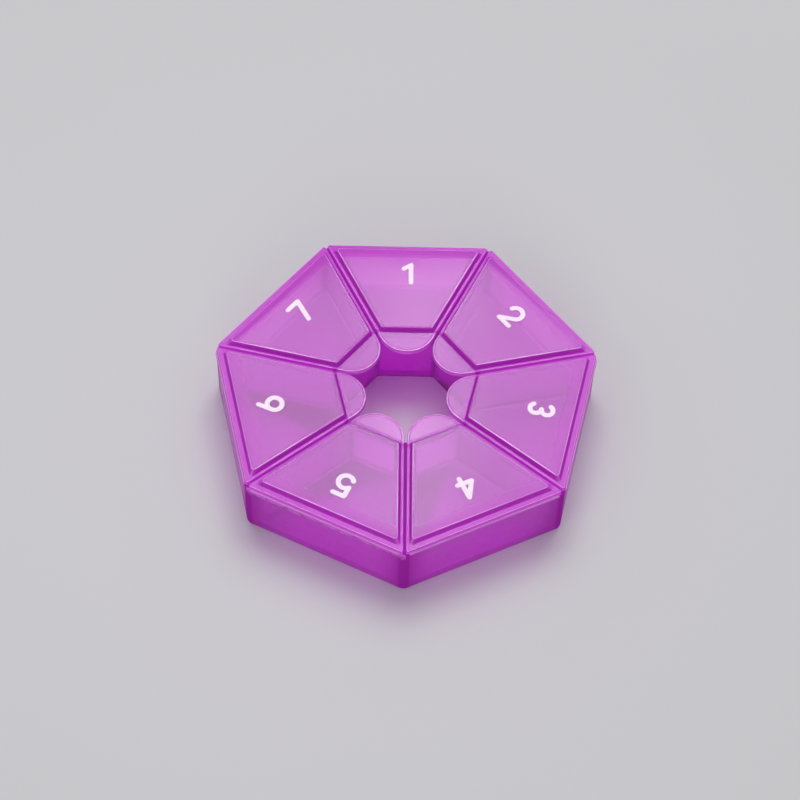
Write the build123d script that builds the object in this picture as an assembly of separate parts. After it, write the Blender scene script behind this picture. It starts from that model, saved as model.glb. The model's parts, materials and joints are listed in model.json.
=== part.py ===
from build123d import *
import os
from math import acos, atan2, cos, degrees, hypot, pi, radians, sin, tan

# Seven-compartment pill organizer: a seven-sided tray round an open hole, with one hinged lid for each box.
# Units are millimetres and Z is up. Every piece is modelled about the middle of the hole, with lid 1 at +Y,
# and moved at the end, so that the origin is on the table under the middle of the whole outline.
# Lids are numbered clockwise as seen from above.

# Tray
compartment_count = 7
outer_face_distance = 43.25  # from the middle to each outer face
hole_face_distance = 14.5  # from the middle to each face of the central hole
tray_height = 15.2
floor_thickness = 1.2
outer_wall = 1.3
inner_wall = 1.2
divider_thickness = 1.2
tray_corner_radius = 2.2
hole_corner_radius = 1.4
pocket_corner_radius = 1.4
pocket_floor_radius = 0.9
foot_radius = 0.7
wall_top_radius = 0.2

# Living hinges
hinge_radius = 0.32
hinge_clearance = 0.05  # between the hinge bead and the lid's edge, and beside the wall when a lid is folded flat
hinge_end_margin = 0.3  # from the tray's rounded corner to the end of the bead

# Lids
lid_thickness = 1.3
lid_gap = 0.6  # between neighbouring lids
lid_seat_clearance = 0.05  # between a closed lid and the walls
lid_corner_radius = 0.5
lid_edge_radius = 0.26
lid_lower_edge_radius = 0.18
tab_overhang = 4.4  # how far the thumb tab reaches over the hole
tab_relief = 0.05  # extra room on each side of a tab

# Raised panel of each lid
panel_height = 1.1
panel_slope = 0.65  # how far its side leans in
panel_outer_margin = 1.4  # from the tray's outer face to the foot of the panel
panel_side_margin = 0.7  # from the lid's side edge to the foot of the panel
panel_inner_margin = 0.25  # from the compartment side of the inner wall to the foot of the panel
panel_corner_radius = 0.75
panel_edge_radius = 0.3
panel_wall = 0.95  # thickness of the panel's side
panel_roof = 1.25  # thickness of the panel's top

# Catch rib below each lid, beside the inner wall
rib_depth = 1.6
rib_thickness = 0.8
rib_clearance = 0.15
rib_edge_radius = 0.3

# Printed numbers
number_height = 6.8
number_width = 4.8
number_stroke = 1.2
number_thickness = 0.12
number_distance = 33.4  # from the middle of the tray to the middle of the number

# Worked out from the sizes above
half_angle = pi / compartment_count
lid_bottom = tray_height + lid_seat_clearance
lid_top = lid_bottom + lid_thickness
panel_top = lid_top + panel_height
lid_outer_distance = outer_face_distance - hinge_clearance
inner_wall_distance = hole_face_distance + inner_wall
tab_tip_distance = hole_face_distance - tab_overhang
tray_corner_distance = outer_face_distance / cos(half_angle) - tray_corner_radius * (1 / cos(half_angle) - 1)
ring_centre_y = (tray_corner_distance - outer_face_distance - hinge_radius) / 2


def half_width(distance, offset):
    """Half the width of one sector at a distance from the middle, with its sides moved in by offset."""
    return distance * tan(half_angle) - offset / cos(half_angle)


def sector(outer, inner, offset):
    """The four corners of a sector's outline between two distances from the middle."""
    wide = half_width(outer, offset)
    narrow = half_width(inner, offset)
    return [(wide, outer), (-wide, outer), (-narrow, inner), (narrow, inner)]


def ring_outline(distance):
    """A regular outline whose faces stand at distance from the middle, one of them towards +Y."""
    corner = distance / cos(half_angle)
    turns = [half_angle * (2 * k + 1) for k in range(compartment_count)]
    return Polygon(*[(corner * sin(-a), corner * cos(a)) for a in turns], align=None)


def rounded(outline, radius):
    """The same outline with every corner rounded."""
    return fillet(outline.vertices(), radius)


def around(shape, k):
    """A copy of a piece modelled at +Y, turned clockwise to place k of the ring."""
    return Rot(0, 0, -360 / compartment_count * k) * shape


# Tray
def make_pocket():
    """The room inside the compartment at +Y, as a solid to cut away."""
    corners = sector(outer_face_distance - outer_wall, inner_wall_distance, divider_thickness / 2)
    outline = rounded(Polygon(*corners, align=None), pocket_corner_radius)
    room = extrude(Pos(0, 0, floor_thickness) * outline, tray_height - floor_thickness)
    return fillet(room.edges().group_by(Axis.Z)[0], pocket_floor_radius)


def on_outer_face(edge):
    """True if an edge runs along an outer face, which stays sharp under the hinge beads."""
    turns = [2 * half_angle * k for k in range(compartment_count)]
    reach = [max(v.X * sin(a) + v.Y * cos(a) for a in turns) for v in edge.vertices()]
    return min(reach) > outer_face_distance - outer_wall / 2


def make_tray():
    """Floor, outer walls, inner walls and dividers in one moulding."""
    body = extrude(rounded(ring_outline(outer_face_distance), tray_corner_radius), tray_height)
    body = fillet(body.edges().group_by(Axis.Z)[0], foot_radius)
    hole = extrude(rounded(ring_outline(hole_face_distance), hole_corner_radius), tray_height)
    body -= hole
    pocket = make_pocket()
    for k in range(compartment_count):
        body -= around(pocket, k)
    rims = [e for e in body.edges().group_by(Axis.Z)[-1] if not on_outer_face(e)]
    return fillet(rims, wall_top_radius)


# Living hinge
def make_hinge_web():
    """The folded web along the outer edge of lid 1: a bead round the top corner of the outer wall."""
    length = 2 * (half_width(outer_face_distance, 0) - tray_corner_radius * tan(half_angle) - hinge_end_margin)
    bead = Rot(0, 90, 0) * Cylinder(hinge_radius, length)
    wall = Pos(0, -hinge_radius, -hinge_radius) * Box(length, 2 * hinge_radius, 2 * hinge_radius)
    return Pos(0, outer_face_distance, tray_height) * (bead - wall)


# Lid
def lid_outline():
    """The outline of lid 1 from above: straight outer and side edges that run on to the round thumb tab."""
    side = lid_gap / 2
    outer_half = half_width(lid_outer_distance, side)
    room = tab_tip_distance * sin(half_angle) - side - tab_relief
    tab_radius = room / (1 - sin(half_angle))
    tab_centre = tab_tip_distance + tab_radius
    rise = lid_outer_distance - tab_centre
    reach = hypot(outer_half, rise)
    touch = atan2(rise, outer_half) - acos(tab_radius / reach)
    touch_x = tab_radius * cos(touch)
    touch_y = tab_centre + tab_radius * sin(touch)
    straight = Polyline(
        (touch_x, touch_y),
        (outer_half, lid_outer_distance),
        (-outer_half, lid_outer_distance),
        (-touch_x, touch_y),
    )
    tab = ThreePointArc((-touch_x, touch_y), (0, tab_tip_distance), (touch_x, touch_y))
    face = make_face(straight.edges() + tab.edges())
    outer_corners = face.vertices().group_by(Axis.Y)[-1]
    return fillet(outer_corners, lid_corner_radius)


def panel_outline(inset, radius):
    """The outline of the raised panel, moved in from its foot by inset."""
    corners = sector(
        outer_face_distance - panel_outer_margin - inset,
        inner_wall_distance + panel_inner_margin + inset,
        lid_gap / 2 + panel_side_margin + inset,
    )
    return rounded(Polygon(*corners, align=None), radius)


def make_panel():
    """The raised panel, with sides that lean in and a rounded upper edge."""
    foot = Pos(0, 0, lid_top) * panel_outline(0, panel_corner_radius)
    top = Pos(0, 0, panel_top) * panel_outline(panel_slope, panel_corner_radius)
    panel = loft([foot.face(), top.face()], ruled=True)
    return fillet(panel.edges().group_by(Axis.Z)[-1], panel_edge_radius)


def make_panel_hollow():
    """The room under the raised panel, which leaves its side and top about as thick as the rest."""
    roof = panel_top - panel_roof
    lean = panel_slope / panel_height * (roof - lid_bottom)
    foot = Pos(0, 0, lid_bottom) * panel_outline(panel_wall, panel_corner_radius)
    top = Pos(0, 0, roof) * panel_outline(panel_wall + lean, panel_corner_radius)
    return loft([foot.face(), top.face()], ruled=True)


def make_catch_rib():
    """A rib below the lid that stands just inside the inner wall and keeps the closed lid in place."""
    near = inner_wall_distance + rib_clearance
    half = half_width(near, divider_thickness / 2) - pocket_corner_radius - rib_clearance
    rib = Box(2 * half, rib_thickness, rib_depth, align=(Align.CENTER, Align.MIN, Align.MAX))
    rib = fillet(rib.edges().group_by(Axis.Z)[0], rib_edge_radius)
    return Pos(0, near, lid_bottom) * rib


def make_lid():
    """Flange with its thumb tab, raised panel, hollow and catch rib, cut back round the hinge bead."""
    flange = extrude(Pos(0, 0, lid_bottom) * lid_outline(), lid_thickness)
    flange = fillet(flange.edges().group_by(Axis.Z)[-1], lid_edge_radius)
    flange = fillet(flange.edges().group_by(Axis.Z)[0], lid_lower_edge_radius)
    lid = flange + make_panel() - make_panel_hollow() + make_catch_rib()
    sweep = Rot(0, 90, 0) * Cylinder(hinge_radius + hinge_clearance, 2 * half_width(outer_face_distance, 0))
    return lid - Pos(0, outer_face_distance, tray_height) * sweep


# Numbers, drawn as strokes on their centre lines, from the lower left corner
stroke_width = number_width - number_stroke
stroke_height = number_height - number_stroke


def line(x0, y0, x1, y1):
    """A straight stroke between two points, given as shares of the number's width and height."""
    start = Vector(x0 * stroke_width, y0 * stroke_height)
    end = Vector(x1 * stroke_width, y1 * stroke_height)
    slot = SlotCenterToCenter((end - start).length, number_stroke)
    turn = degrees(atan2(end.Y - start.Y, end.X - start.X))
    middle = (start + end) / 2
    return Pos(middle.X, middle.Y) * Rot(0, 0, turn) * slot


def bow(centre_y, start, sweep, radius=stroke_width / 2):
    """A round stroke about a point on the number's middle line, from start degrees through sweep degrees."""
    arc = CenterArc((stroke_width / 2, centre_y), radius, start, sweep)
    return SlotArc(arc, number_stroke)


def bow_end(centre_y, angle):
    """The point on a full-width bow at an angle, as shares of the number's width and height."""
    radius = stroke_width / 2
    x = stroke_width / 2 + radius * cos(radians(angle))
    y = centre_y + radius * sin(radians(angle))
    return x / stroke_width, y / stroke_height


def draw_one():
    return line(0.55, 0, 0.55, 1) + line(0.55, 1, 0.05, 0.78)


def draw_two():
    centre_y = stroke_height - stroke_width / 2
    x, y = bow_end(centre_y, -35)
    return bow(centre_y, -35, 205) + line(x, y, 0, 0) + line(0, 0, 1, 0)


def draw_three():
    radius = stroke_height / 4
    upper = bow(stroke_height - radius, -90, 240, radius)
    lower = bow(radius, -150, 240, radius)
    return upper + lower


def draw_four():
    return line(0.7, 1, 0, 0.27) + line(0, 0.27, 1, 0.27) + line(0.7, 1, 0.7, 0)


def draw_five():
    centre_y = stroke_width / 2
    x, y = bow_end(centre_y, 140)
    return line(0.92, 1, x, 1) + line(x, 1, x, y) + bow(centre_y, 140, -290)


def draw_six():
    middle = stroke_width / 2
    loop = Circle(middle + number_stroke / 2) - Circle(middle - number_stroke / 2)
    return Pos(middle, middle) * loop + line(*bow_end(middle, 155), 0.68, 1)


def draw_seven():
    return line(0, 1, 1, 1) + line(1, 1, 0.35, 0)


drawings = [draw_one, draw_two, draw_three, draw_four, draw_five, draw_six, draw_seven]


def make_number(k):
    """The print on lid k + 1, as a thin solid on the raised panel, its top towards the outer edge."""
    sketch = drawings[k]()
    box = sketch.bounding_box()
    centre = box.center()
    flat = Pos(-centre.X, number_distance - centre.Y, panel_top) * sketch
    return extrude(flat, number_thickness)


os.makedirs("parts", exist_ok=True)
pieces = {"tray": make_tray()}
hinge_web = make_hinge_web()
lid = make_lid()
for k in range(compartment_count):
    pieces[f"hinge_web_{k + 1}"] = around(hinge_web, k)
    pieces[f"lid_{k + 1}"] = around(lid, k)
    pieces[f"number_{k + 1}"] = around(make_number(k), k)

for name, piece in pieces.items():
    placed = Pos(0, ring_centre_y, 0) * piece
    placed.label = name
    export_step(placed, f"parts/{name}.step")
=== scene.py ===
import json
import math
import bpy
from mathutils import Matrix, Vector

# seven-box pill organizer in clear purple plastic, a number printed on every lid
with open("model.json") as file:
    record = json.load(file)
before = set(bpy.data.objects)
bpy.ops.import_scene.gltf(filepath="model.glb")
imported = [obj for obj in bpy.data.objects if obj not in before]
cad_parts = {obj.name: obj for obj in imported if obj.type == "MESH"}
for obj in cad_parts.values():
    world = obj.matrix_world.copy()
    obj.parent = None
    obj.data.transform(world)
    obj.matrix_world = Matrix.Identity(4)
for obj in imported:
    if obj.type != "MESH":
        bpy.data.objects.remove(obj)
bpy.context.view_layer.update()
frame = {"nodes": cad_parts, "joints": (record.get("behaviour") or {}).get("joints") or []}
nodes = frame["nodes"]
print("frame loaded:", len(nodes), "nodes")

scene = bpy.context.scene
scene.view_settings.view_transform = "Standard"

boxCount = 7
sectorAngle = math.tau / boxCount
hingeReach = 0.04325  # from the middle of the ring to every hinge line and outer face
hingeSpot = Vector(frame["joints"][0]["pos_m"])  # the first lid's hinge, straight behind the middle
ringCentre = Vector((hingeSpot.x, hingeSpot.y - hingeReach, 0.0))


def makeMaterial(name):
    material = bpy.data.materials.new(name)
    material.use_nodes = True
    material.node_tree.nodes.clear()
    return material, material.node_tree


# a node with its sockets filled: a socket is linked, and anything else is set as a constant
def addNode(tree, kind, values=None, **settings):
    made = tree.nodes.new(kind)
    for key, value in settings.items():
        setattr(made, key, value)
    for key, value in (values or {}).items():
        if isinstance(value, bpy.types.NodeSocket):
            tree.links.new(value, made.inputs[key])
        elif isinstance(value, tuple) and len(value) == 3 and made.inputs[key].type == "RGBA":
            made.inputs[key].default_value = (*value, 1)
        else:
            made.inputs[key].default_value = value
    return made


def calc(tree, operation, first, second=0.0):
    return addNode(tree, "ShaderNodeMath", {0: first, 1: second}, operation=operation).outputs[0]


def vectorCalc(tree, operation, first, second, output="Vector"):
    return addNode(tree, "ShaderNodeVectorMath", {0: first, 1: second}, operation=operation).outputs[output]


# from low to high while fac goes from start to end
def between(tree, fac, low, high, start=0.0, end=1.0, ease="LINEAR"):
    values = {"Value": fac, "From Min": start, "From Max": end, "To Min": low, "To Max": high}
    return addNode(tree, "ShaderNodeMapRange", values, interpolation_type=ease).outputs["Result"]


# rises to strength while fac crosses the first span, and falls to nothing while it crosses the second
def band(tree, fac, strength, rise, fall):
    return calc(tree, "MULTIPLY", between(tree, fac, 0.0, strength, *rise), between(tree, fac, 1.0, 0.0, *fall))


def softNoise(tree, place, scale, detail=3.0, roughness=0.5):
    values = {"Vector": place, "Scale": scale, "Detail": detail, "Roughness": roughness}
    return addNode(tree, "ShaderNodeTexNoise", values).outputs["Fac"]


def stretch(tree, place, scale):
    return addNode(tree, "ShaderNodeMapping", {"Vector": place, "Scale": scale}).outputs[0]


def texturePlace(tree, output="Object"):
    return addNode(tree, "ShaderNodeTexCoord").outputs[output]


def makeBump(tree, height, strength, distance, **under):
    values = {"Height": height, "Strength": strength, "Distance": distance, **under}
    return addNode(tree, "ShaderNodeBump", values).outputs[0]


# inputs 6 and 7 and output 2 are the mix node's colours
def mixColour(tree, fac, first, second):
    return addNode(tree, "ShaderNodeMix", {0: fac, 6: first, 7: second}, data_type="RGBA").outputs[2]


def mixShader(tree, fac, first, second):
    return addNode(tree, "ShaderNodeMixShader", {0: fac, 1: first, 2: second}).outputs[0]


# camera, at the photograph's angle
shot = {
    "azimuth": -1.244, "elevation": 55.25, "roll": 2.12,  # degrees
    "distance": 0.5712, "nearest": 0.01,  # metres
    "focal": 103.44, "sensor": 36,  # millimetres
    "shiftX": -0.0060, "shiftY": 0.0296,
}


def placeCamera():
    azimuth, elevation, roll = (math.radians(shot[key]) for key in ("azimuth", "elevation", "roll"))
    level = math.cos(elevation)
    back = Vector((math.sin(azimuth) * level, -math.cos(azimuth) * level, math.sin(elevation)))
    right = Vector((0, 0, 1)).cross(back).normalized()
    up = back.cross(right)
    rolledRight = right * math.cos(roll) + up * math.sin(roll)
    rolledUp = up * math.cos(roll) - right * math.sin(roll)
    data = bpy.data.cameras.new("shotCamera")
    data.sensor_width, data.lens = shot["sensor"], shot["focal"]
    data.shift_x, data.shift_y = shot["shiftX"], shot["shiftY"]
    data.clip_start = shot["nearest"]
    camera = bpy.data.objects.new("shotCamera", data)
    scene.collection.objects.link(camera)
    turned = Matrix((rolledRight, rolledUp, back)).transposed().to_4x4()
    camera.matrix_world = Matrix.Translation(ringCentre + back * shot["distance"]) @ turned
    scene.camera = camera


placeCamera()
print("camera placed")

# pale table, with a painted pool of light a little brighter round the object
table = {
    "size": 12.0, "colour": (0.620, 0.611, 0.628), "rough": 0.75, "gloss": 0.15,
    "poolPlace": (-0.03, 0.0, 0.0), "poolReach": (0.03, 0.16), "poolGain": (1.03, 0.975),
    "cloudScale": 3.0, "cloudGain": (0.99, 1.01), "grainScale": 900.0, "grain": 0.03, "grainDepth": 0.0002,
}


def makeFloor():
    material, tree = makeMaterial("paleTable")
    place = texturePlace(tree)
    cloud = softNoise(tree, place, table["cloudScale"])
    dark, light = (tuple(part * gain for part in table["colour"]) for gain in table["cloudGain"])
    # painted pool of light: the table's colour is raised near the object and lowered far from it
    fromPool = vectorCalc(tree, "DISTANCE", place, table["poolPlace"], "Value")
    gain = between(tree, fromPool, *table["poolGain"], *table["poolReach"])
    values = {0: mixColour(tree, cloud, dark, light), "Scale": gain}
    colour = addNode(tree, "ShaderNodeVectorMath", values, operation="SCALE").outputs[0]
    grain = makeBump(tree, softNoise(tree, place, table["grainScale"]), table["grain"], table["grainDepth"])
    paint = addNode(tree, "ShaderNodeBsdfPrincipled", {
        "Base Color": colour, "Roughness": table["rough"], "Specular IOR Level": table["gloss"], "Normal": grain,
    })
    addNode(tree, "ShaderNodeOutputMaterial", {"Surface": paint.outputs[0]})
    bpy.ops.mesh.primitive_plane_add(size=table["size"])
    floor = bpy.context.object
    floor.name = "paleTable"
    floor.data.materials.append(material)


# studio: an even sky, and softboxes whose radiance is the lamp's own brightness
studio = {"skyColour": (0.96, 0.97, 1.0), "skyStrength": 0.42}
softboxes = {
    "backSoftbox": {"place": (0.06, 1.25, 2.17), "size": (1.7, 1.7), "radiance": 4.7},
    "fillSoftbox": {"place": (-1.15, -1.2, 1.35), "size": (1.0, 1.0), "radiance": 0.85},
    "frontSoftbox": {"place": (0.0, -2.2, 0.9), "size": (1.2, 0.8), "radiance": 2.6},
}
# the back one keeps only leftOver of its light below the fade, which lies a little lower on the right, and is
# hot times brighter than the rest at one spot, with hotReach metres round it of a distance scaled by hotScale
backPattern = {
    "fade": (1.946, 1.978), "fadeAlong": (0.11, 0.0, 1.0), "leftOver": 0.25,
    "hotPlace": (0.05, 1.50, 2.03), "hot": 1.6, "hotReach": 0.23, "hotScale": (1.8, 0.3, 0.3),
}


def patternLamp(data):
    look = backPattern
    data.use_nodes = True
    tree = data.node_tree
    tree.nodes.clear()
    spot = addNode(tree, "ShaderNodeNewGeometry").outputs["Position"]
    fromHot = vectorCalc(tree, "SUBTRACT", spot, look["hotPlace"])
    fromHot = vectorCalc(tree, "MULTIPLY", fromHot, look["hotScale"])
    away = addNode(tree, "ShaderNodeVectorMath", {0: fromHot}, operation="LENGTH").outputs["Value"]
    middle = between(tree, away, look["hot"], 1.0, 0.0, look["hotReach"], ease="SMOOTHSTEP")
    height = vectorCalc(tree, "DOT_PRODUCT", spot, look["fadeAlong"], "Value")
    fade = between(tree, height, look["leftOver"], 1.0, *look["fade"], ease="SMOOTHSTEP")
    glow = addNode(tree, "ShaderNodeEmission", {"Strength": calc(tree, "MULTIPLY", middle, fade)}).outputs[0]
    addNode(tree, "ShaderNodeOutputLight", {"Surface": glow})


def lightStudio():
    world = bpy.data.worlds.new("studioSky")
    scene.world = world
    world.use_nodes = True
    tree = world.node_tree
    tree.nodes.clear()
    values = {"Color": studio["skyColour"], "Strength": studio["skyStrength"]}
    sky = addNode(tree, "ShaderNodeBackground", values).outputs[0]
    seen = addNode(tree, "ShaderNodeBackground", {"Color": table["colour"], "Strength": 1.0}).outputs[0]
    path = addNode(tree, "ShaderNodeLightPath").outputs["Is Camera Ray"]
    addNode(tree, "ShaderNodeOutputWorld", {"Surface": mixShader(tree, path, sky, seen)})
    for name, box in softboxes.items():
        data = bpy.data.lights.new(name, "AREA")
        data.shape = "RECTANGLE"
        data.size, data.size_y = box["size"]
        data.energy = math.pi * data.size * data.size_y * box["radiance"]
        if name == "backSoftbox":
            patternLamp(data)
        lamp = bpy.data.objects.new(name, data)
        scene.collection.objects.link(lamp)
        lamp.location = box["place"]
        lamp.rotation_euler = (-Vector(box["place"])).to_track_quat("-Z", "Y").to_euler()
        lamp.visible_transmission = False  # seen as gloss, not as a glare inside the plastic's edges


makeFloor()
lightStudio()
print("studio lit")


# where a point lies in the ring: x and y from its middle, its height, how far it is towards the nearest outer
# face, how far to the side of that face's middle, and how far from the nearest corner's line
def ringPlace(tree, place):
    spot = vectorCalc(tree, "SUBTRACT", place, tuple(ringCentre))
    x, y, z = addNode(tree, "ShaderNodeSeparateXYZ", {0: spot}).outputs
    reach = pythagoras(tree, x, y)
    turn = calc(tree, "PINGPONG", calc(tree, "ARCTAN2", x, y), sectorAngle / 2)
    outward = calc(tree, "MULTIPLY", reach, calc(tree, "COSINE", turn))
    sideways = calc(tree, "MULTIPLY", reach, calc(tree, "SINE", turn))
    turnLeft = calc(tree, "SUBTRACT", sectorAngle / 2, turn)
    across = calc(tree, "MULTIPLY", reach, calc(tree, "SINE", turnLeft))
    return {"x": x, "y": y, "height": z, "outward": outward, "sideways": sideways, "fromCorner": across}


def pythagoras(tree, first, second):
    squares = calc(tree, "MULTIPLY", first, first), calc(tree, "MULTIPLY", second, second)
    return calc(tree, "SQRT", calc(tree, "ADD", *squares))


# how far a face looks up: 1 for level, 0 for upright
def faceSlope(tree):
    return addNode(tree, "ShaderNodeSeparateXYZ", {0: texturePlace(tree, "Normal")}).outputs["Z"]


# a dull coloured layer, of which the share called glow is lit from behind
def dull(tree, colour, bump, glow):
    front = addNode(tree, "ShaderNodeBsdfDiffuse", {"Color": colour, "Normal": bump}).outputs[0]
    through = addNode(tree, "ShaderNodeBsdfTranslucent", {"Color": colour, "Normal": bump}).outputs[0]
    return mixShader(tree, glow, front, through)


# what every part of the clear plastic shares; lengths in metres, dye strength per metre
plasticBase = {
    "tint": (0.98, 0.88, 0.99), "refraction": 1.49, "dyeStrength": 850.0,
    "cloudScale": 70.0, "mottleScale": 420.0, "mottleDetail": 4.0, "mottleRough": 0.6, "mottleSpan": (0.3, 0.7),
    "peelScale": 160.0, "peelDetail": 2.0, "peel": 0.02, "peelDepth": 0.0001,
    "streakScale": 420.0, "streakStretch": (1.0, 1.0, 0.25),
    "warpScale": 45.0, "warpDetail": 1.0, "droopSpan": (0.0385, 0.0413), "droop": 0.0,
    "edgeStart": (0.70, 0.80), "edgeEnd": (0.985, 0.998),
    "shine": 0.35, "shineColour": (1.0, 0.72, 1.0), "shineRough": 0.12,
    "milkGlow": 0.5, "markGlow": 0.4, "edgeGlow": 0.3,
    "deepRay": 5.5,  # light that has crossed this many faces ends in the milk
}


# clear purple plastic: glass that darkens with thickness, some milk in it, and a painted highlight on the rounded
# edges, with gloss over it
def clearPlastic(name, ownLook, marks):
    look = {**plasticBase, **ownLook}
    material, tree = makeMaterial(name)
    place = texturePlace(tree)
    geometry = addNode(tree, "ShaderNodeNewGeometry").outputs
    path = addNode(tree, "ShaderNodeLightPath").outputs

    # faces that aren't quite flat, with a fine orange peel on them
    streak = softNoise(tree, stretch(tree, place, look["streakStretch"]), look["streakScale"])
    peel = calc(tree, "ADD", softNoise(tree, place, look["peelScale"], look["peelDetail"]), streak)
    warp = calc(tree, "MULTIPLY", softNoise(tree, place, look["warpScale"], look["warpDetail"]), look["warp"])
    outward = ringPlace(tree, place)["outward"]
    droop = calc(tree, "POWER", between(tree, outward, 0.0, 1.0, *look["droopSpan"]), 2.0)
    height = calc(tree, "SUBTRACT", warp, calc(tree, "MULTIPLY", droop, look["droop"]))
    bump = makeBump(tree, peel, look["peel"], look["peelDepth"], Normal=makeBump(tree, height, 1.0, 1.0))

    glass = addNode(tree, "ShaderNodeBsdfPrincipled", {
        "Base Color": look["tint"], "Transmission Weight": 1.0, "IOR": look["refraction"],
        "Roughness": look["rough"], "Normal": bump,
    }).outputs[0]
    cloud = softNoise(tree, place, look["cloudScale"])
    mottle = softNoise(tree, place, look["mottleScale"], look["mottleDetail"], look["mottleRough"])
    mottle = between(tree, mottle, 0.0, 1.0, *look["mottleSpan"])
    blend = calc(tree, "MULTIPLY", calc(tree, "ADD", cloud, mottle), 0.5)
    milk = dull(tree, mixColour(tree, blend, look["milk"], look["milkPale"]), bump, look["milkGlow"])
    haze = between(tree, geometry["Backfacing"], look["haze"], look["hazeInside"])
    deep = calc(tree, "GREATER_THAN", path["Ray Depth"], look["deepRay"])
    body = mixShader(tree, calc(tree, "MAXIMUM", haze, deep), glass, milk)

    # painted highlight: the rounded top edges are painted a paler colour, mixed with a glossy layer
    edge = band(tree, faceSlope(tree), look["edge"], look["edgeStart"], look["edgeEnd"])
    values = {"Color": look["shineColour"], "Roughness": look["shineRough"]}
    shine = addNode(tree, "ShaderNodeBsdfGlossy", values).outputs[0]
    edgeLayer = mixShader(tree, look["shine"], dull(tree, look["edgeColour"], bump, look["edgeGlow"]), shine)
    body = mixShader(tree, edge, body, edgeLayer)
    for mask, colour in marks(tree, place):
        body = mixShader(tree, mask, body, dull(tree, colour, bump, look["markGlow"]))

    # shadows are tinted, not black
    letThrough = addNode(tree, "ShaderNodeBsdfTransparent", {"Color": look["shade"]}).outputs[0]
    surface = mixShader(tree, path["Is Shadow Ray"], body, letThrough)
    values = {"Color": look["dye"], "Density": look["dyeStrength"]}
    dye = addNode(tree, "ShaderNodeVolumeAbsorption", values).outputs[0]
    addNode(tree, "ShaderNodeOutputMaterial", {"Surface": surface, "Volume": dye})
    return material


# tray
trayLook = {
    "rough": 0.09, "dye": (0.93, 0.36, 0.95), "shade": (0.655, 0.42, 0.66), "warp": 0.0002,
    "milk": (0.98, 0.16, 0.99), "milkPale": (1.0, 0.27, 1.0), "haze": 0.36, "hazeInside": 0.20,
    "edge": 0.6, "edgeColour": (0.97, 0.34, 0.98),
    "skin": 0.0009,  # how deep the outer faces' marks go
    "corner": 0.9, "cornerSpan": (0.00115, 0.00135), "cornerColour": (0.50, 0.035, 0.50),
    "end": 0.75, "endSpan": (0.00115, 0.008), "endPower": 1.5, "endColour": (0.60, 0.045, 0.60),
    "foot": 0.55, "footSpan": (0.0003, 0.0006),
    "rim": 0.95, "rimSpan": (0.0150, 0.0151), "rimColour": (0.54, 0.035, 0.60),
    "whiteFace": 4, "whiteSkin": 0.0004,
    "white": 0.8, "whiteSpan": (0.0136, 0.0144), "whiteColour": (0.93, 0.32, 0.94),
    "raggedStretch": (0.5, 0.5, 1.4), "raggedScale": 600.0, "raggedDetail": 4.0, "raggedRough": 0.7,
    "raggedSpan": (0.25, 0.75), "ragged": 0.0014,
}


def trayMarks(tree, place):
    look = trayLook
    spot = ringPlace(tree, place)
    # painted shade: the tray's top faces, seen in the narrow gaps between the lids, are painted dark
    rim = between(tree, spot["height"], 0.0, look["rim"], *look["rimSpan"])
    # painted shade: the lowest band of the tray, where it stands on the table, is painted dark
    foot = between(tree, spot["height"], look["foot"], 0.0, *look["footSpan"])
    # painted shade: the solid posts where the dividers meet the outer wall show as a dark upright band painted at
    # each corner, and the wall is painted softly deeper towards them
    onFace = calc(tree, "GREATER_THAN", spot["outward"], hingeReach - look["skin"])
    corner = between(tree, spot["fromCorner"], look["corner"], 0.0, *look["cornerSpan"])
    corner = calc(tree, "MULTIPLY", corner, onFace)
    end = calc(tree, "POWER", between(tree, spot["fromCorner"], 1.0, 0.0, *look["endSpan"]), look["endPower"])
    end = calc(tree, "MULTIPLY", calc(tree, "MULTIPLY", end, look["end"]), onFace)
    # bent plastic goes white and ragged along one hinge, counted round from the first lid
    angle = sectorAngle * look["whiteFace"]
    alongX = calc(tree, "MULTIPLY", spot["x"], math.sin(angle))
    alongY = calc(tree, "MULTIPLY", spot["y"], math.cos(angle))
    onHinge = calc(tree, "GREATER_THAN", calc(tree, "ADD", alongX, alongY), hingeReach - look["whiteSkin"])
    stretched = stretch(tree, place, look["raggedStretch"])
    ragged = softNoise(tree, stretched, look["raggedScale"], look["raggedDetail"], look["raggedRough"])
    ragged = between(tree, ragged, -look["ragged"], look["ragged"], *look["raggedSpan"])
    white = between(tree, calc(tree, "ADD", spot["height"], ragged), 0.0, look["white"], *look["whiteSpan"])
    return (
        (end, look["endColour"]), (foot, look["cornerColour"]), (corner, look["cornerColour"]),
        (rim, look["rimColour"]), (calc(tree, "MULTIPLY", white, onHinge), look["whiteColour"]),
    )


trayPlastic = clearPlastic("trayPlastic", trayLook, trayMarks)

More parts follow.
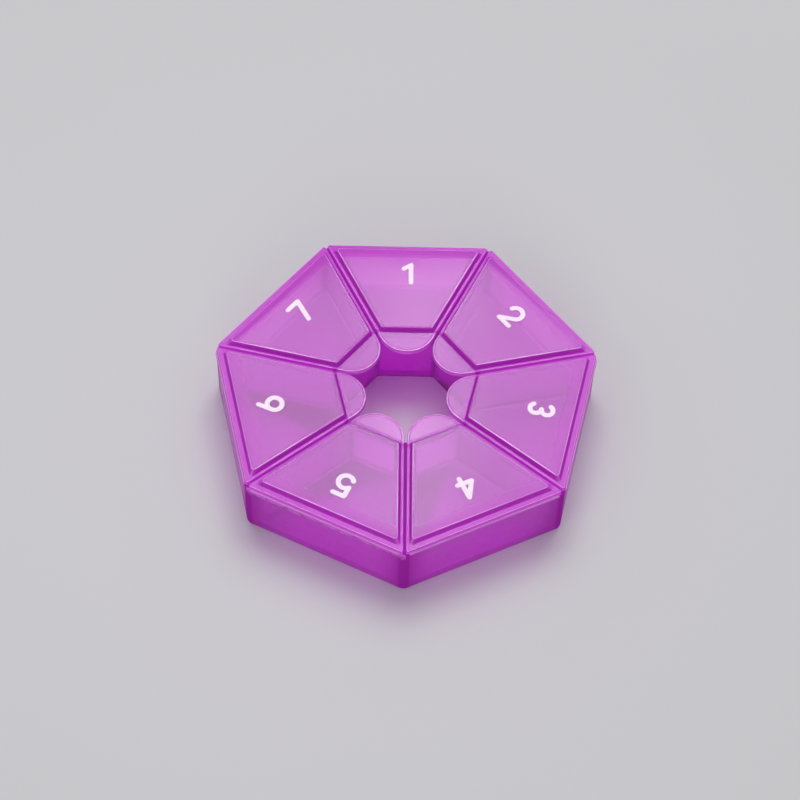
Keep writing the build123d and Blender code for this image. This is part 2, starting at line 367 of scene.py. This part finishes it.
# lids
lidLook = {
    "rough": 0.08, "dye": (0.95, 0.36, 0.96), "shade": (0.67, 0.44, 0.68), "warp": 0.00012,
    "milk": (0.98, 0.10, 1.0), "milkPale": (1.0, 0.16, 1.0), "haze": 0.28, "hazeInside": 0.10,
    "droop": 0.00007,  # the panel falls away softly at its outer edge
    "edge": 0.85, "edgeColour": (1.0, 0.58, 1.0),
    "side": 0.6, "sideStart": (0.1, 0.45), "sideEnd": (0.62, 0.82), "sideColour": (0.60, 0.04, 0.64),
    "rim": 0.9, "rimStart": (-0.3, -0.1), "rimEnd": (0.1, 0.3), "rimColour": (0.92, 0.28, 0.96),
    "wall": 0.20, "wallStart": (0.0355, 0.0413), "wallPower": 1.8, "wallEnd": (0.0413, 0.0415),
    "wallColour": (0.86, 0.06, 0.92),
    "foot": 0.75, "footStart": (0.01575, 0.01590), "footEnd": (0.01675, 0.01695),
    "flange": 0.45, "flangeSpan": (0.00085, 0.00105), "flangeFrom": 0.0165, "flangeColour": (0.84, 0.09, 0.88),
    "outer": 0.36, "outerSpan": (0.0414, 0.0418),
    "tabMiddle": 0.01722, "tabLine": 0.00655, "tabEnd": 0.0157,
    "line": 0.5, "lineSpan": (0.00006, 0.00016), "lineColour": (0.72, 0.07, 0.78),
}


def lidMarks(tree, place):
    look = lidLook
    spot = ringPlace(tree, place)
    outward = spot["outward"]
    slope = faceSlope(tree)
    # painted shade: the leaning sides of the raised panel are looked through lengthwise, so they are painted deeper
    # in colour
    side = band(tree, slope, look["side"], look["sideStart"], look["sideEnd"])
    # painted light: the flange's upright rim is thin and catches more light, so its outer faces are painted paler
    outside = calc(tree, "SUBTRACT", 1.0, addNode(tree, "ShaderNodeNewGeometry").outputs["Backfacing"])
    rim = calc(tree, "MULTIPLY", band(tree, slope, look["rim"], look["rimStart"], look["rimEnd"]), outside)
    # painted light: the outer wall, lit from behind, and the panel's far side show through the lid as a deeper
    # magenta, painted stronger towards its outer edge
    wall = calc(tree, "POWER", between(tree, outward, 0.0, 1.0, *look["wallStart"]), look["wallPower"])
    wall = calc(tree, "MULTIPLY", wall, between(tree, outward, look["wall"], 0.0, *look["wallEnd"]))
    # painted shade: the foot of the panel beside the tab shows through as a dark band
    foot = band(tree, outward, look["foot"], look["footStart"], look["footEnd"])
    # painted shade: the dividers' tops show through the flange along both long sides, and the outer wall's top along
    # its end, painted deeper in colour
    alongSides = between(tree, spot["fromCorner"], look["flange"], 0.0, *look["flangeSpan"])
    alongSides = calc(tree, "MULTIPLY", alongSides, calc(tree, "GREATER_THAN", outward, look["flangeFrom"]))
    flange = calc(tree, "MAXIMUM", alongSides, between(tree, outward, 0.0, look["outer"], *look["outerSpan"]))
    # a fine line runs round inside the tab's rim
    tabReach = pythagoras(tree, calc(tree, "SUBTRACT", outward, look["tabMiddle"]), spot["sideways"])
    fromLine = calc(tree, "ABSOLUTE", calc(tree, "SUBTRACT", tabReach, look["tabLine"]))
    line = between(tree, fromLine, look["line"], 0.0, *look["lineSpan"])
    line = calc(tree, "MULTIPLY", line, calc(tree, "LESS_THAN", outward, look["tabEnd"]))
    return (
        (side, look["sideColour"]), (rim, look["rimColour"]), (wall, look["wallColour"]),
        (foot, look["sideColour"]), (line, look["lineColour"]), (flange, look["flangeColour"]),
    )


lidPlastic = clearPlastic("lidPlastic", lidLook, lidMarks)

# hinge webs: bent plastic, so it is milkier
hingeLook = {**lidLook, "haze": 0.7, "milk": (0.86, 0.22, 0.88), "milkPale": (0.93, 0.42, 0.94), "cloudScale": 500.0}


def noMarks(tree, place):
    return ()


hingePlastic = clearPlastic("hingePlastic", hingeLook, noMarks)

# numbers
printLook = {
    "white": (0.98, 0.84, 0.98), "thin": (0.92, 0.73, 0.93), "rough": 0.45,
    "patchScale": 900.0, "patchSpan": (0.35, 0.75),
}


def whitePrint():
    material, tree = makeMaterial("whitePrint")
    patch = softNoise(tree, texturePlace(tree), printLook["patchScale"])
    patch = between(tree, patch, 0.0, 1.0, *printLook["patchSpan"])
    colour = mixColour(tree, patch, printLook["white"], printLook["thin"])
    ink = addNode(tree, "ShaderNodeBsdfPrincipled", {"Base Color": colour, "Roughness": printLook["rough"]})
    addNode(tree, "ShaderNodeOutputMaterial", {"Surface": ink.outputs[0]})
    return material


printInk = whitePrint()

finishes = {"tray": trayPlastic, "hinge": hingePlastic, "lid": lidPlastic, "number": printInk}
for name, piece in nodes.items():
    piece.material_slots[0].material = finishes[name.split("_")[0]]
print("finishes given")
